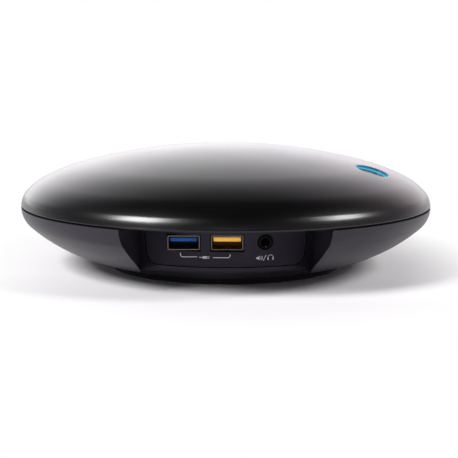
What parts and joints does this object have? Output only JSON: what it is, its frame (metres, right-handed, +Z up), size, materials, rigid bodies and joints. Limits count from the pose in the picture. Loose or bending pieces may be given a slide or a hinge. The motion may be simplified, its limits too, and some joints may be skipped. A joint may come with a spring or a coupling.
{
  "type": "barebone mini pc",
  "caption": "Round pebble-shaped black mini computer with a domed cover, lit power button, front niche with USB and headset ports, and a foot ring.",
  "frame": {"origin": "floor under the middle of the round casing", "axes": "+Z up, -Y towards the front ports, +X towards the power button"},
  "size_m": [0.18, 0.18, 0.0532],
  "materials": {
    "cover_black": "satin",
    "shell_black": "satin",
    "port_plate_black": "matt",
    "button_black": "satin",
    "cyan_light": "lit",
    "foot_rubber": "matt",
    "hatch_black": "matt",
    "black_screws": "black",
    "steel_screws": "nickel",
    "brass_posts": "plain",
    "board_green": "lacquered",
    "tray_steel": "zinc plated",
    "port_steel": "bright",
    "blue_insulator": "satin",
    "amber_insulator": "satin",
    "rear_insulator": "satin",
    "contact_gold": "gold plated",
    "jack_black": "gloss",
    "inlet_pin_steel": "bright",
    "network_metal": "plain",
    "socket_black": "matt",
    "plunger_white": "matt",
    "light_yellow": "clear",
    "latch_steel": "spring steel",
    "chip_green": "satin",
    "die_grey": "polished",
    "cold_aluminium": "milled",
    "pipe_copper": "copper",
    "blower_black": "matt",
    "blower_lid_steel": "black",
    "cell_steel": "plain",
    "coil_grey": "matt",
    "can_aluminium": "plain"
  },
  "bodies": {
    "casing": {"top_cover": "cover_black", "lower_shell": "shell_black", "front_port_plate": "port_plate_black", "button_light_ring": "cyan_light", "foot_ring": "foot_rubber", "base_cover": "hatch_black", "base_cover_screws": "black_screws", "button_board_screws": "steel_screws", "tray_screws": "steel_screws", "cold_plate_screws": "steel_screws", "wifi_screw": "steel_screws", "bay_posts": "brass_posts", "wifi_standoff": "brass_posts", "motherboard": "board_green", "button_board": "board_green", "drive_tray": "tray_steel", "rear_port_plate": "tray_steel", "blue_usb_shell": "port_steel", "amber_usb_shell": "port_steel", "rear_usb_shells": "port_steel", "display_shell": "port_steel", "blue_usb_insulator": "blue_insulator", "amber_usb_insulator": "amber_insulator", "rear_usb_insulators": "rear_insulator", "display_insulator": "rear_insulator", "usb_contacts": "contact_gold", "headset_jack": "jack_black", "power_inlet": "jack_black", "power_inlet_pin": "inlet_pin_steel", "network_socket": "network_metal", "memory_socket": "socket_black", "wifi_socket": "socket_black", "drive_connector": "socket_black", "cell_holder": "socket_black", "button_switch": "socket_black", "button_lights": "light_yellow", "processor_package": "chip_green", "wifi_card": "chip_green", "processor_die": "die_grey", "cold_plate": "cold_aluminium", "fin_stack": "cold_aluminium", "heat_pipe": "pipe_copper", "blower_housing": "blower_black", "blower_cover": "blower_lid_steel", "clock_cell": "cell_steel", "power_coils": "coil_grey", "capacitors": "can_aluminium"},
    "button": {"power_button": "button_black"},
    "plunger": {"switch_plunger": "plunger_white"},
    "rotor": {"fan_rotor": "blower_black"},
    "latch_left": {"memory_latch_left": "latch_steel"},
    "latch_right": {"memory_latch_right": "latch_steel"}
  },
  "joints": [
    {"name": "power_button_press", "type": "slide", "parent": "casing", "child": "button", "axis": [-0.2705, 0.1065, -0.9568], "range_m": [0, 0.0005], "stiffness_N_per_m": 1500, "springref_m": -0.001},
    {"name": "switch_press", "type": "slide", "parent": "casing", "child": "plunger", "axis": [-0.2705, 0.1065, -0.9568], "range_m": [0, 0.0005]},
    {"name": "fan_spin", "type": "hinge", "parent": "casing", "child": "rotor", "pos_m": [-0.033, 0.019, 0.02], "axis": [0, 0, 1], "continuous": true},
    {"name": "memory_latch_left_swing", "type": "hinge", "parent": "casing", "child": "latch_left", "pos_m": [-0.035, 0.0078, 0.01], "axis": [0, 0, -1], "range_deg": [0, 9], "stiffness_Nm_per_rad": 0.02},
    {"name": "memory_latch_right_swing", "type": "hinge", "parent": "casing", "child": "latch_right", "pos_m": [0.035, 0.0078, 0.01], "axis": [0, 0, 1], "range_deg": [0, 9], "stiffness_Nm_per_rad": 0.02}
  ],
  "couplings": [
    {"joint": "switch_press", "follows": "power_button_press", "ratio": 1}
  ]
}
